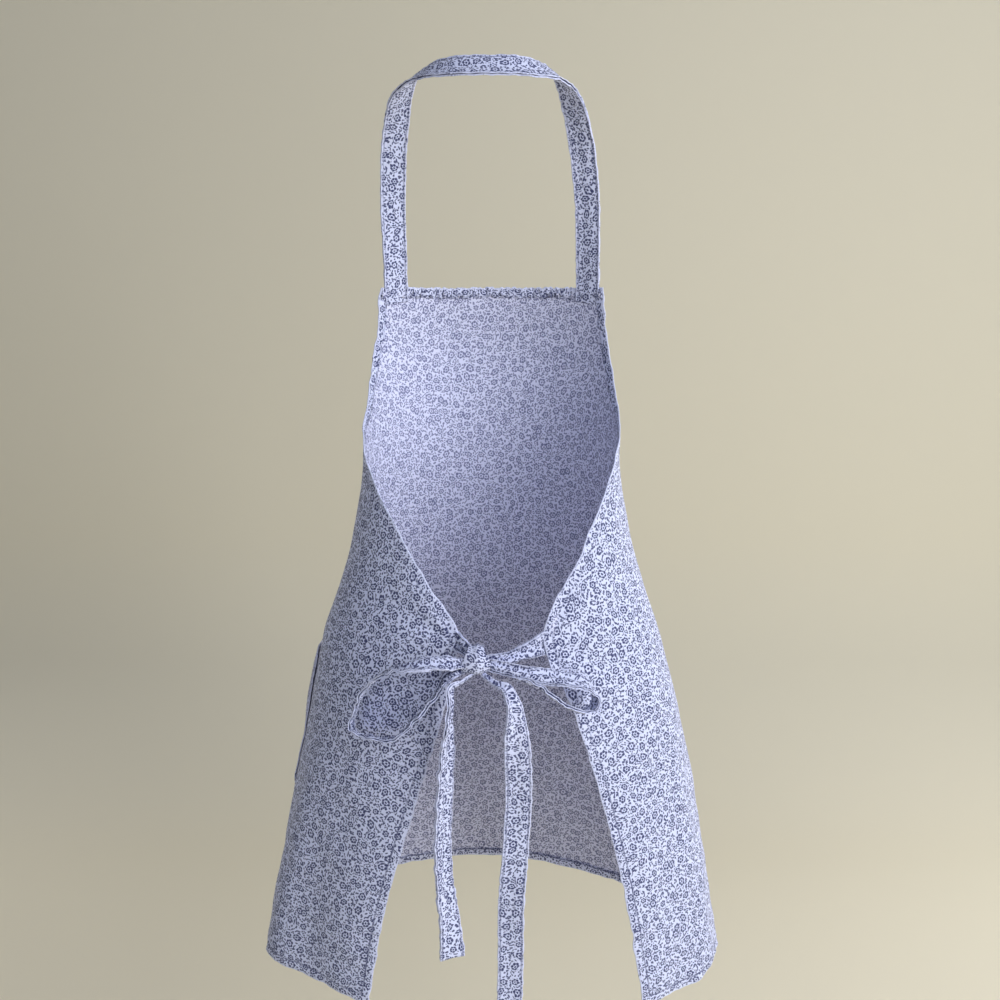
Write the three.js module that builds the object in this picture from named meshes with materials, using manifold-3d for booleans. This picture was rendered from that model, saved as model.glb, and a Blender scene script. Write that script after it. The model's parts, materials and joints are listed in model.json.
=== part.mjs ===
// Hostess apron as it is worn: a bib panel that wraps the torso, a neck strap, a hip pocket,
// and waist ties in a bow at the back.
// Units are millimetres. +Z is up, the bow faces -Y and the wearer faces +Y.
// The origin is on the inner face of the neck strap, where it rests on the nape.
import * as THREE from "three";
import Module from "manifold-3d";

// Cloth
const CLOTH = 1.4;                 // wall of the printed cotton
const HEM_WALL = 2.4;              // wall where the edge is turned under
const STRAP_WALL = 1.8;            // wall of a folded strap
const GAP = 0.4;                   // clearance that keeps neighbouring pieces apart

// Panel
const SIDE_LINE = 57;              // y of the side line, between the front and the back of the torso
const BIB_TOP = -188;
const TIE_TOP = -501;              // upper end of the short edge that a tie is sewn to
const TIE_BOTTOM = -526;
const HEM_LINE = -890;
const TOP_HEM = 14;                // height of the turned hems
const BOTTOM_HEM = 10;
const EDGE_HEM = 9;
const PANEL_COLUMNS = 46;
const BIB_ROWS = 12;
const SKIRT_ROWS = 14;

// Horizontal sections of the worn cloth, from the hem up to the bib.
// shift moves a section sideways, half is its half width, front and back are the depths before
// and behind the side line, left and right are the angles of the cloth's edges, measured from
// the front middle.
const SECTIONS = [
  { z: -890, shift: 0, half: 246, front: 170, back: 120, left: 150, right: 141.3 },
  { z: -790, shift: 0.5, half: 229, front: 157, back: 118, left: 152.5, right: 144 },
  { z: -700, shift: 2, half: 211, front: 143, back: 115, left: 157, right: 148 },
  { z: -620, shift: 3, half: 193, front: 130, back: 112, left: 162, right: 153 },
  { z: -560, shift: 1, half: 179, front: 122, back: 108, left: 166.8, right: 157.5 },
  { z: -526, shift: 0, half: 170, front: 118, back: 104, left: 169, right: 162 },
  { z: -501, shift: 0, half: 161, front: 117, back: 101, left: 169, right: 162 },
  { z: -475, shift: 0, half: 152, front: 117, back: 97, left: 161.2, right: 156.5 },
  { z: -442, shift: 0, half: 142, front: 118, back: 92, left: 150, right: 144.7 },
  { z: -408, shift: 0, half: 135, front: 119, back: 88, left: 137.4, right: 134.5 },
  { z: -376, shift: 0, half: 129, front: 120, back: 85, left: 121.5, right: 121 },
  { z: -345, shift: 0, half: 127, front: 122, back: 84, left: 101, right: 103 },
  { z: -305, shift: 0, half: 131, front: 125, back: 86, left: 76, right: 77 },
  { z: -250, shift: 0, half: 146, front: 124, back: 92, left: 57, right: 57 },
  { z: -188, shift: 0, half: 150, front: 106, back: 95, left: 50, right: 50 },
];

// Soft folds that fall to the hem: where each one is round the torso, how wide it spreads,
// how far it stands out at the hem, and the height at which it starts.
const FOLDS = [
  { at: -128, spread: 9, lift: -4, start: -600 },
  { at: -110, spread: 8, lift: 4, start: -640 },
  { at: -56, spread: 14, lift: -5, start: -620 },
  { at: -30, spread: 10, lift: 5, start: -660 },
  { at: 2, spread: 15, lift: 7, start: -600 },
  { at: 46, spread: 13, lift: -5, start: -640 },
  { at: 68, spread: 9, lift: 4, start: -660 },
  { at: 112, spread: 9, lift: 4, start: -580 },
  { at: 128, spread: 7, lift: -4, start: -620 },
];

// How far the hem is pulled up from its level line, round the torso.
const HEM_PULL = [
  { at: -155, up: -2 },
  { at: -125, up: 6 },
  { at: -95, up: 9 },
  { at: -50, up: -5 },
  { at: -15, up: -3 },
  { at: 10, up: -8 },
  { at: 35, up: -12 },
  { at: 65, up: -7 },
  { at: 95, up: 4 },
  { at: 122, up: -11 },
  { at: 145, up: -13 },
];
const PULL_START = -700;           // height below which the pull shows

// Pocket
const POCKET_TOP = -558;
const POCKET_BOTTOM = -708;
const POCKET_BACK = -95;           // angle of its edge by the side line, at the mouth
const POCKET_FRONT = -31;
const POCKET_TILT = 3.5;           // how far its bottom leans towards the front, in degrees
const POCKET_CLEARANCE = 0.55;
const POCKET_GAPE = 12;            // how far its mouth stands off the panel
const POCKET_MOUTH_HEM = 16;
const POCKET_COLUMNS = 14;
const POCKET_ROWS = 9;

// Straps
const STRAP_WIDTH = 25;
const STRAP_COLUMNS = 3;

// Knot: its middle, half sizes, and the depth, slant and breadth of the crease across it
const KNOT = { at: [-10, -58, -525], half: [10, 9, 13], crease: 1.6, slant: 0.5, breadth: 0.25 };
const KNOT_COLUMNS = 20;
const KNOT_ROWS = 14;

// Routes of the flat strips. across points along the strip's width.
// The neck strap runs from the left bib corner round the nape to the right one.
// The other strips run from or to the knot.
const STRIPS = {
  neck_strap: [
    { at: [-98.6, 137.6, -204], across: [0.84, 0.54, 0], width: STRAP_WIDTH },
    { at: [-98.8, 132.8, -188], across: [0.85, 0.53, 0], width: STRAP_WIDTH },
    { at: [-99, 126, -160], across: [0.88, 0.47, 0.05], width: STRAP_WIDTH },
    { at: [-98.5, 112, -100], across: [0.94, 0.3, 0.14], width: STRAP_WIDTH },
    { at: [-93, 90, -45], across: [0.92, 0.1, 0.37], width: STRAP_WIDTH },
    { at: [-81, 57, -9], across: [0.8, 0.05, 0.6], width: STRAP_WIDTH },
    { at: [-62, 25, -0.5], across: [0.6, 0.4, 0.7], width: STRAP_WIDTH },
    { at: [-36, 5, 0.5], across: [0.3, 0.6, 0.74], width: STRAP_WIDTH },
    { at: [0, -0.66, 0.61], across: [0, 0.68, 0.73], width: STRAP_WIDTH },
    { at: [32, 5, 0.5], across: [-0.3, 0.6, 0.74], width: STRAP_WIDTH },
    { at: [55, 25, 0], across: [-0.6, 0.4, 0.7], width: STRAP_WIDTH },
    { at: [71, 57, -8], across: [-0.8, 0.05, 0.6], width: STRAP_WIDTH },
    { at: [86, 90, -45], across: [-0.92, 0.1, 0.37], width: STRAP_WIDTH },
    { at: [95.5, 112, -100], across: [-0.94, 0.3, 0.14], width: STRAP_WIDTH },
    { at: [98.5, 126, -160], across: [-0.88, 0.47, 0.05], width: STRAP_WIDTH },
    { at: [98.8, 132.8, -188], across: [-0.85, 0.53, 0], width: STRAP_WIDTH },
    { at: [98.6, 137.6, -204], across: [-0.84, 0.54, 0], width: STRAP_WIDTH },
  ],
  tie_left: [
    { at: [-49, -35.3, -513], across: [0, 0, 1], width: STRAP_WIDTH },
    { at: [-33, -39.5, -514], across: [0, 0, 1], width: 24 },
    { at: [-25, -46.5, -518], across: [-0.1, 0.2, 1], width: 16 },
    { at: [-13, -55, -522], across: [0.1, 0.3, 1], width: 9 },
  ],
  tie_right: [
    { at: [67, -33.2, -514], across: [0, 0.1, 1], width: STRAP_WIDTH },
    { at: [52.2, -38, -515], across: [0, 0.1, 1], width: 24 },
    { at: [33, -45, -519], across: [0, 0.1, 1], width: 18 },
    { at: [12, -52, -522], across: [0, 0.3, 1], width: 13 },
    { at: [-6, -56, -523], across: [0, 0.3, 1], width: 9 },
  ],
  bow_loop_left: [
    { at: [-13, -60, -523.5], across: [0, 0.35, 0.94], width: 8 },
    { at: [-32, -61, -524.5], across: [0, 0.6, 0.8], width: 12 },
    { at: [-48, -61.5, -525], across: [0, 0.8, 0.6], width: 17 },
    { at: [-71, -60, -528], across: [0, 0.97, 0.22], width: 23 },
    { at: [-91, -54, -535], across: [0, 0.99, -0.1], width: STRAP_WIDTH },
    { at: [-115, -44, -554], across: [0, 0.97, -0.26], width: STRAP_WIDTH },
    { at: [-131, -39, -586], across: [-0.1, 0.95, -0.3], width: STRAP_WIDTH },
    { at: [-131.5, -39, -600], across: [-0.1, 0.95, -0.3], width: STRAP_WIDTH },
    { at: [-115, -47, -603], across: [-0.1, 0.95, -0.3], width: STRAP_WIDTH },
    { at: [-91, -56.5, -601], across: [-0.05, 0.95, -0.3], width: STRAP_WIDTH },
    { at: [-72, -61, -582], across: [0, 0.97, -0.25], width: 24 },
    { at: [-53, -63, -560], across: [0, 0.98, -0.2], width: 20 },
    { at: [-40, -63.5, -540], across: [0, 0.98, 0.1], width: 14 },
    { at: [-27, -61.5, -532], across: [0, 0.7, 0.7], width: 6 },
    { at: [-14, -59, -528.5], across: [0, 0.5, 0.85], width: 5 },
  ],
  bow_loop_right: [
    { at: [-6, -60, -525], across: [0, 0.35, 0.94], width: 8 },
    { at: [12, -62, -528], across: [0, 0.5, 0.87], width: 11 },
    { at: [35, -63, -533.5], across: [0, 0.65, 0.76], width: 14 },
    { at: [54, -62, -538], across: [0, 0.85, 0.5], width: 18 },
    { at: [75, -58, -546], across: [0, 0.93, 0.35], width: 23 },
    { at: [90, -53, -557], across: [0.1, 0.97, 0.2], width: STRAP_WIDTH },
    { at: [97.5, -50.5, -567], across: [0.15, 0.98, 0], width: STRAP_WIDTH },
    { at: [88.5, -55, -574], across: [0.1, 0.98, -0.15], width: STRAP_WIDTH },
    { at: [74, -59.5, -567], across: [0, 0.97, -0.25], width: 24 },
    { at: [60, -62, -558], across: [0, 0.96, -0.28], width: 21 },
    { at: [49, -63.5, -549], across: [0, 0.95, -0.3], width: 16 },
    { at: [33, -64, -541.5], across: [0, 0.95, -0.2], width: 10 },
    { at: [12, -61, -535.5], across: [0, 0.7, 0.7], width: 6 },
    { at: [-6, -58.5, -529.5], across: [0, 0.5, 0.85], width: 5 },
  ],
  tail_left: [
    { at: [-13, -61, -534], across: [0.4, 0.9, -0.2], width: 4 },
    { at: [-25, -68, -540], across: [0.4, 0.9, 0], width: 6 },
    { at: [-36, -71, -546], across: [0.25, 0.96, 0], width: 11 },
    { at: [-38, -72, -562], across: [0.33, 0.94, 0], width: 18 },
    { at: [-39, -70.5, -580], across: [0.38, 0.92, 0], width: 22 },
    { at: [-40.5, -66.5, -614], across: [0.5, 0.87, 0], width: STRAP_WIDTH },
    { at: [-43, -63, -655], across: [0.58, 0.81, 0], width: STRAP_WIDTH },
    { at: [-46, -61, -714], across: [0.56, 0.83, 0], width: STRAP_WIDTH },
    { at: [-44, -60, -752], across: [0.6, 0.8, 0], width: STRAP_WIDTH },
    { at: [-40, -60, -793], across: [0.75, 0.66, 0], width: STRAP_WIDTH },
    { at: [-38, -60, -830], across: [0.96, 0.28, 0], width: STRAP_WIDTH },
  ],
  tail_right: [
    { at: [-8, -61, -535], across: [0.6, 0.6, 0.5], width: 4 },
    { at: [4, -69, -542], across: [0.55, 0.75, 0.4], width: 8 },
    { at: [14, -73, -545], across: [0.6, 0.7, 0.35], width: 12 },
    { at: [20, -75, -557], across: [0.75, 0.62, 0.15], width: 16 },
    { at: [22.5, -74, -572], across: [0.85, 0.5, 0], width: 19 },
    { at: [23.5, -71.5, -590], across: [0.95, 0.3, 0], width: 23 },
    { at: [25, -67.5, -616], across: [0.99, 0.1, 0], width: STRAP_WIDTH },
    { at: [26, -64, -652], across: [1, 0, 0], width: STRAP_WIDTH },
    { at: [23.5, -61, -712], across: [1, 0.1, 0], width: STRAP_WIDTH },
    { at: [19.5, -60, -773], across: [1, -0.1, 0], width: STRAP_WIDTH },
    { at: [19, -60, -832], across: [1, 0, 0], width: STRAP_WIDTH },
    { at: [18, -60, -893], across: [1, 0.1, 0], width: STRAP_WIDTH },
  ],
};
const STEPS_PER_STATION = 3;

const COLOURS = {
  panel: 0xdfe0ee,
  pocket: 0xdfe0ee,
  strap: 0xe6e7f3,
};
const COTTON_ROUGHNESS = 0.85;

const { Manifold, Mesh } = await Module().then((wasm) => {
  wasm.setup();
  return wasm;
});

const SECTION_COLUMNS = ["shift", "half", "front", "back", "left", "right"];
const sectionCurve = new THREE.CubicInterpolant(
  Float32Array.from(SECTIONS, (row) => row.z),
  Float32Array.from(SECTIONS.flatMap((row) => SECTION_COLUMNS.map((name) => row[name]))),
  SECTION_COLUMNS.length,
);

// The section at one height, with its columns by name.
function sectionAt(z) {
  const values = sectionCurve.evaluate(z);
  return Object.fromEntries(SECTION_COLUMNS.map((name, i) => [name, values[i]]));
}

// How far the folds stand out at an angle and a height.
function foldLift(degrees, z) {
  let lift = 0;
  for (const fold of FOLDS) {
    const grown = THREE.MathUtils.smoothstep(-z, -fold.start, -HEM_LINE);
    const off = (degrees - fold.at) / fold.spread;
    lift += fold.lift * grown * Math.exp(-off * off);
  }
  return lift;
}

const hemPullCurve = new THREE.CubicInterpolant(
  Float32Array.from(HEM_PULL, (row) => row.at),
  Float32Array.from(HEM_PULL, (row) => row.up),
  1,
);

// A point on the outer face of the panel. Angles run from the front middle, negative to the left.
function panelPoint(degrees, level) {
  const pull = hemPullCurve.evaluate(degrees)[0];
  const z = level + pull * THREE.MathUtils.smoothstep(-level, -PULL_START, -HEM_LINE);
  const section = sectionAt(z);
  const angle = THREE.MathUtils.degToRad(degrees);
  const depth = Math.cos(angle) > 0 ? section.front : section.back;
  const outward = new THREE.Vector3(Math.sin(angle) / section.half, Math.cos(angle) / depth, 0);
  const x = section.shift + section.half * Math.sin(angle);
  const point = new THREE.Vector3(x, SIDE_LINE + depth * Math.cos(angle), z);
  return point.addScaledVector(outward.normalize(), foldLift(degrees, level));
}

// The angle that a short run along the section spans, next to an edge.
function angleOfRun(run, degrees, section) {
  const angle = THREE.MathUtils.degToRad(degrees);
  const depth = Math.cos(angle) > 0 ? section.front : section.back;
  const speed = Math.hypot(section.half * Math.cos(angle), depth * Math.sin(angle));
  return THREE.MathUtils.radToDeg(run / speed);
}

// Evenly spaced values from one end to the other, both ends included.
function spaced(from, to, count) {
  return Array.from({ length: count + 1 }, (_, i) => THREE.MathUtils.lerp(from, to, i / count));
}

// A mesh geometry from a grid of outer points and the wall behind each of them.
// The wall is measured inwards along the surface normal.
function wallGeometry(outer, wallAt) {
  const rows = outer.length;
  const columns = outer[0].length;
  const within = (k, count) => THREE.MathUtils.clamp(k, 0, count - 1);
  const at = (j, i) => outer[within(j, rows)][within(i, columns)];
  const points = [];
  const inner = [];
  for (let j = 0; j < rows; j += 1) {
    for (let i = 0; i < columns; i += 1) {
      const along = new THREE.Vector3().subVectors(at(j, i + 1), at(j, i - 1));
      const down = new THREE.Vector3().subVectors(at(j + 1, i), at(j - 1, i));
      const inward = new THREE.Vector3().crossVectors(along, down).normalize();
      points.push(at(j, i));
      inner.push(at(j, i).clone().addScaledVector(inward, wallAt(j, i)));
    }
  }
  const offset = points.length;
  const index = [];
  const quad = (a, b, c, d) => index.push(a, b, c, a, c, d);
  const id = (j, i) => j * columns + i;
  for (let j = 0; j < rows - 1; j += 1) {
    for (let i = 0; i < columns - 1; i += 1) {
      quad(id(j, i), id(j + 1, i), id(j + 1, i + 1), id(j, i + 1));
      quad(offset + id(j, i), offset + id(j, i + 1), offset + id(j + 1, i + 1), offset + id(j + 1, i));
    }
  }
  for (let i = 0; i < columns - 1; i += 1) {
    const last = rows - 1;
    quad(id(0, i), id(0, i + 1), offset + id(0, i + 1), offset + id(0, i));
    quad(id(last, i), offset + id(last, i), offset + id(last, i + 1), id(last, i + 1));
  }
  for (let j = 0; j < rows - 1; j += 1) {
    const last = columns - 1;
    quad(id(j, 0), offset + id(j, 0), offset + id(j + 1, 0), id(j + 1, 0));
    quad(id(j, last), id(j + 1, last), offset + id(j + 1, last), offset + id(j, last));
  }
  const positions = [...points, ...inner].flatMap((point) => point.toArray());
  const geometry = new THREE.BufferGeometry();
  geometry.setAttribute("position", new THREE.Float32BufferAttribute(positions, 3));
  geometry.setIndex(index);
  return geometry;
}

// The panel: rows from the bib down to the hem, columns from the left edge to the right edge.
function panelGeometry() {
  const heights = [
    BIB_TOP,
    ...spaced(BIB_TOP - TOP_HEM, TIE_TOP, BIB_ROWS),
    ...spaced(TIE_BOTTOM, HEM_LINE + BOTTOM_HEM, SKIRT_ROWS),
    HEM_LINE,
  ];
  const rows = heights.map((z) => {
    const section = sectionAt(z);
    const left = angleOfRun(EDGE_HEM, section.left, section) - section.left;
    const right = section.right - angleOfRun(EDGE_HEM, section.right, section);
    const angles = [-section.left, ...spaced(left, right, PANEL_COLUMNS), section.right];
    return angles.map((degrees) => panelPoint(degrees, z));
  });
  const lastRow = rows.length - 1;
  const lastColumn = rows[0].length - 1;
  const turned = (k, last) => k <= 1 || k >= last - 1;
  return wallGeometry(rows, (j, i) => (turned(j, lastRow) || turned(i, lastColumn) ? HEM_WALL : CLOTH));
}

// The pocket lies on the panel with its sides and bottom close to it and its mouth standing off.
// It is cut square, so it spans a smaller angle where the panel is wider.
function pocketGeometry() {
  const heights = [POCKET_TOP, ...spaced(POCKET_TOP - POCKET_MOUTH_HEM, POCKET_BOTTOM, POCKET_ROWS)];
  const wallOf = (j) => (j <= 1 ? HEM_WALL : CLOTH);
  const rows = heights.map((z, j) => {
    const up = (z - POCKET_BOTTOM) / (POCKET_TOP - POCKET_BOTTOM);
    const narrowed = sectionAt(POCKET_TOP).half / sectionAt(z).half;
    const middle = (POCKET_FRONT + POCKET_BACK) / 2 + POCKET_TILT * (1 - up);
    const reach = ((POCKET_FRONT - POCKET_BACK) / 2) * narrowed;
    return spaced(-1, 1, POCKET_COLUMNS).map((side) => {
      const degrees = middle + side * reach;
      const bulge = POCKET_GAPE * Math.sqrt(up) * (1 - side * side) ** 2;
      const outward = panelPoint(degrees, z).sub(new THREE.Vector3(0, SIDE_LINE, z)).normalize();
      return panelPoint(degrees, z).addScaledVector(outward, bulge + POCKET_CLEARANCE + wallOf(j));
    });
  });
  return wallGeometry(rows, wallOf);
}

// A flat strip along a route. Its width turns from station to station.
function stripGeometry(stations) {
  const vector = (list) => new THREE.Vector3(...list);
  const centre = new THREE.CatmullRomCurve3(stations.map((row) => vector(row.at)), false, "centripetal");
  const turn = new THREE.CatmullRomCurve3(stations.map((row) => vector(row.across)), false, "centripetal");
  const steps = (stations.length - 1) * STEPS_PER_STATION;
  const rows = spaced(0, 1, steps).map((share) => {
    const station = Math.min(Math.floor(share * (stations.length - 1)), stations.length - 2);
    const within = share * (stations.length - 1) - station;
    const width = THREE.MathUtils.lerp(stations[station].width, stations[station + 1].width, within);
    const tangent = centre.getTangent(share);
    const across = turn.getPoint(share);
    across.addScaledVector(tangent, -across.dot(tangent)).normalize();
    const face = new THREE.Vector3().crossVectors(across, tangent);
    return spaced(-width / 2, width / 2, STRAP_COLUMNS).map((run) =>
      centre.getPoint(share).addScaledVector(across, run).addScaledVector(face, -STRAP_WALL / 2),
    );
  });
  return wallGeometry(rows, () => STRAP_WALL);
}

// The knot: a pillow with a crease across it. grown enlarges it to cut the strips back.
function knotGeometry(grown) {
  const geometry = new THREE.SphereGeometry(1, KNOT_COLUMNS, KNOT_ROWS);
  const position = geometry.getAttribute("position");
  const point = new THREE.Vector3();
  for (let i = 0; i < position.count; i += 1) {
    point.fromBufferAttribute(position, i);
    const off = (point.x - KNOT.slant * point.z) / KNOT.breadth;
    const crease = KNOT.crease * Math.exp(-off * off);
    const scale = KNOT.half.map((half) => half - crease + grown);
    position.setXYZ(i, point.x * scale[0], point.y * scale[1], point.z * scale[2]);
  }
  return geometry.translate(...KNOT.at);
}

function solidFrom(geometry) {
  const position = geometry.getAttribute("position");
  const mesh = new Mesh({
    numProp: 3,
    vertProperties: Float32Array.from(position.array),
    triVerts: Uint32Array.from(geometry.index.array),
  });
  mesh.merge();
  return new Manifold(mesh);
}

function geometryFrom(solid) {
  const mesh = solid.getMesh();
  const geometry = new THREE.BufferGeometry();
  geometry.setAttribute("position", new THREE.Float32BufferAttribute(mesh.vertProperties, 3));
  geometry.setIndex(Array.from(mesh.triVerts));
  return geometry;
}

const apron = new THREE.Group();
apron.name = "hostess_apron";

function addPiece(name, colour, geometry) {
  geometry.computeVertexNormals();
  const material = new THREE.MeshStandardMaterial({
    color: colour,
    roughness: COTTON_ROUGHNESS,
    metalness: 0,
  });
  const piece = new THREE.Mesh(geometry, material);
  piece.name = name;
  apron.add(piece);
}

addPiece("panel", COLOURS.panel, panelGeometry());
addPiece("pocket", COLOURS.pocket, pocketGeometry());
addPiece("bow_knot", COLOURS.strap, geometryFrom(solidFrom(knotGeometry(0))));
const knotRoom = solidFrom(knotGeometry(GAP));
for (const [name, stations] of Object.entries(STRIPS)) {
  const strip = solidFrom(stripGeometry(stations)).subtract(knotRoom);
  addPiece(name, COLOURS.strap, geometryFrom(strip));
}

export default apron;
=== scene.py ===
# %% [markdown]
# # A bib apron, worn and tied
# This lesson dresses a imported part: an apron that hangs from a neck strap, wraps the hips and closes in a bow behind
# the waist. The solids are already in place and measured, so they are loaded first as a frame and never moved. Every
# solid is then replaced by cloth that lies where it lay, with turned hems, stitches, soft wrinkles and a small print.

# %% Load the frame
import json
import math

import bmesh
import bpy
import numpy as np
from mathutils import Matrix, Vector, kdtree, noise
from mathutils.bvhtree import BVHTree

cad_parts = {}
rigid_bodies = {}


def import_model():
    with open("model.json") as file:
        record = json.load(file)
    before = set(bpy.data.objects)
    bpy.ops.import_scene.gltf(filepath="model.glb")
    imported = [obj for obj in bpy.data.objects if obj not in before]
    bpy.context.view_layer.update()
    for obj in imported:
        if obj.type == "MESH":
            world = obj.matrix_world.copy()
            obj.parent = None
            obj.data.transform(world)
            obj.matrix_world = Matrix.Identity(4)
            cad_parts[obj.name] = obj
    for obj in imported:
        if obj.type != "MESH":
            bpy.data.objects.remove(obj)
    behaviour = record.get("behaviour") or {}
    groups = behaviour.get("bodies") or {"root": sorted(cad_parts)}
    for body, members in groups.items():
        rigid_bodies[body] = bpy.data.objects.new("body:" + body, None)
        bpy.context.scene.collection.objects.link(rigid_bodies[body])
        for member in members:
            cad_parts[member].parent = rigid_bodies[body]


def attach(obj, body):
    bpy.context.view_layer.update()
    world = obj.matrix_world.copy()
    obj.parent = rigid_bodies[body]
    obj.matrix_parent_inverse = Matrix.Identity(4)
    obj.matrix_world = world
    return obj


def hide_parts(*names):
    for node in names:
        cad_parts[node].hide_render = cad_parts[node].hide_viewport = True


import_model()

MM = 0.001
in_scene = bpy.context.scene.collection.objects
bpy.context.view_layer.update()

# %% [markdown]
# ## Camera
# The apron is seen from behind, from the height of the bib's top edge, with the lens tipped down by 11.5 degrees. A
# lens as long as its sensor is wide gives the moderate perspective of a telephone. The tilt is a turn about X:
# 90 degrees would look level along +Y.

# %% Place the camera
CAMERA_AT = (0.0085, -0.928, -0.197)
CAMERA_TILT = 11.5
SENSOR_WIDTH = 36.0

camera_data = bpy.data.cameras.new("camera")
camera_data.sensor_width = SENSOR_WIDTH
camera_data.lens = SENSOR_WIDTH
camera = bpy.data.objects.new("camera", camera_data)
camera.location = CAMERA_AT
camera.rotation_euler = (math.radians(90 - CAMERA_TILT), 0, 0)
in_scene.link(camera)
bpy.context.scene.camera = camera
print("camera at", CAMERA_AT, "tipped down", CAMERA_TILT, "degrees")

# %% [markdown]
# ## Studio
# A sweep is a floor that curves up into a backdrop, so no corner shows behind the cloth. One grid face is the floor,
# its back edge is spun a quarter turn for the curve, and that last edge is extruded upwards. The colour is a warm
# beige, which keeps the bluish cloth clear of it.

# %% Floor and backdrop
FLOOR_LEVEL = -1.42
SWEEP_HALF = 4.0
SWEEP_BACK = 1.1
SWEEP_RADIUS = 0.6
SWEEP_STEPS = 16
WALL_HEIGHT = 4.0
EDGE_REACH = 0.01
PAPER_COLOUR = (0.77, 0.71, 0.55, 1)
PAPER_ROUGHNESS = 0.95

bm = bmesh.new()
bmesh.ops.create_grid(bm, x_segments=1, y_segments=1, size=SWEEP_HALF)
bmesh.ops.translate(bm, verts=bm.verts, vec=(0, SWEEP_BACK - SWEEP_HALF, FLOOR_LEVEL))
back_verts = [v for v in bm.verts if v.co.y > SWEEP_BACK - EDGE_REACH]
back_edge = [e for e in bm.edges if all(v in back_verts for v in e.verts)]
curve = bmesh.ops.spin(
    bm, geom=back_edge + back_verts, cent=(0, SWEEP_BACK, FLOOR_LEVEL + SWEEP_RADIUS), axis=(1, 0, 0),
    angle=math.radians(90), steps=SWEEP_STEPS,
)
top_edge = [g for g in curve["geom_last"] if isinstance(g, bmesh.types.BMEdge)]
wall = bmesh.ops.extrude_edge_only(bm, edges=top_edge)
wall_verts = [g for g in wall["geom"] if isinstance(g, bmesh.types.BMVert)]
bmesh.ops.translate(bm, verts=wall_verts, vec=(0, 0, WALL_HEIGHT))
bmesh.ops.recalc_face_normals(bm, faces=bm.faces)
sweep_mesh = bpy.data.meshes.new("sweep")
bm.to_mesh(sweep_mesh)
bm.free()
sweep_mesh.shade_smooth()
sweep = bpy.data.objects.new("sweep", sweep_mesh)
in_scene.link(sweep)

paper = bpy.data.materials.new("backdrop_paper")
paper.use_nodes = True
paper_shader = paper.node_tree.nodes["Principled BSDF"]
paper_shader.inputs["Base Color"].default_value = PAPER_COLOUR
paper_shader.inputs["Roughness"].default_value = PAPER_ROUGHNESS
sweep_mesh.materials.append(paper)
print("sweep with", len(sweep_mesh.polygons), "faces")

# %% [markdown]
# ## Light
# A window to the right gives the folds their shape, so the key is one large area light there. A weak second area light
# near the camera and a pale sky keep the shaded half readable. Two more stand in front, far out to either side, one
# strong and one weak, and rake across the bib, the skirt and the pocket. Large lights make soft shadows. The standard
# view keeps the pale cloth as clean as it looks in daylight.

# %% Lights
def soft_light(name, at, target, size, watts, colour):
    lamp = bpy.data.lights.new(name, "AREA")
    lamp.size = size
    lamp.energy = watts
    lamp.color = colour
    light = bpy.data.objects.new(name, lamp)
    light.location = at
    light.rotation_euler = (Vector(target) - Vector(at)).to_track_quat("-Z", "Y").to_euler()
    in_scene.link(light)
    return light


WAIST = (0, 0, -0.55)
DAYLIGHT = (0.90, 0.93, 1.0)
SKYLIGHT = (0.83, 0.88, 1.0)
ROOM_LIGHT = (0.93, 0.93, 0.97)
SKY_COLOUR = (0.76, 0.83, 1.0, 1)
SKY_STRENGTH = 0.215

key = soft_light("key", at=(2.1, -1.5, 0.5), target=WAIST, size=2.6, watts=89, colour=DAYLIGHT)
fill = soft_light("fill", at=(-0.35, -2.3, 0.25), target=WAIST, size=1.8, watts=9.5, colour=SKYLIGHT)
front = soft_light("front", at=(1.5, 1.6, 0.1), target=(1.5, 0, 0.1), size=0.9, watts=24, colour=ROOM_LIGHT)
low_front = soft_light(
    "low_front", at=(-1.5, 1.6, -0.2), target=(-1.5, 0, -0.2), size=0.9, watts=9, colour=ROOM_LIGHT,
)
sky = bpy.data.worlds.new("sky")
sky.use_nodes = True
sky_shader = sky.node_tree.nodes["Background"]
sky_shader.inputs["Color"].default_value = SKY_COLOUR
sky_shader.inputs["Strength"].default_value = SKY_STRENGTH
bpy.context.scene.world = sky
bpy.context.scene.view_settings.view_transform = "Standard"
print("lights:", key.name, fill.name, front.name, low_front.name, sky.name)

# %% [markdown]
# ## Printed cotton
# The cloth is a plain-woven cotton, pale lavender blue, with a small all-over print in one dark blue ink: round
# flowers with a dot in the middle, and short leaves strewn between them. A picture could hold that print, but a
# procedural one stays sharp at any size. Each Voronoi cell holds one flower. The cell's own middle is taken away from
# the surface point, and what is left is a small local frame: its length draws rings, its angle draws petals.
# The pattern reads the UV map, whose unit is one metre, so a size in the nodes is a real size on the cloth.

# %% Helpers for the nodes
def feed(tree, socket, value):
    if isinstance(value, bpy.types.NodeSocket):
        tree.links.new(value, socket)
    else:
        socket.default_value = value


def calc(tree, operation, *values):
    node = tree.nodes.new("ShaderNodeMath")
    node.operation = operation
    for socket, value in zip(node.inputs, values):
        feed(tree, socket, value)
    return node.outputs[0]


def vector_calc(tree, operation, *values):
    node = tree.nodes.new("ShaderNodeVectorMath")
    node.operation = operation
    for socket, value in zip(node.inputs, values):
        feed(tree, socket, value)
    return node.outputs["Value" if operation == "LENGTH" else "Vector"]


def fade(tree, value, full, gone):
    node = tree.nodes.new("ShaderNodeMapRange")
    node.interpolation_type = "SMOOTHSTEP"
    feed(tree, node.inputs["Value"], value)
    node.inputs["From Min"].default_value = full
    node.inputs["From Max"].default_value = gone
    node.inputs["To Min"].default_value = 1.0
    node.inputs["To Max"].default_value = 0.0
    return node.outputs["Result"]


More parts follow.
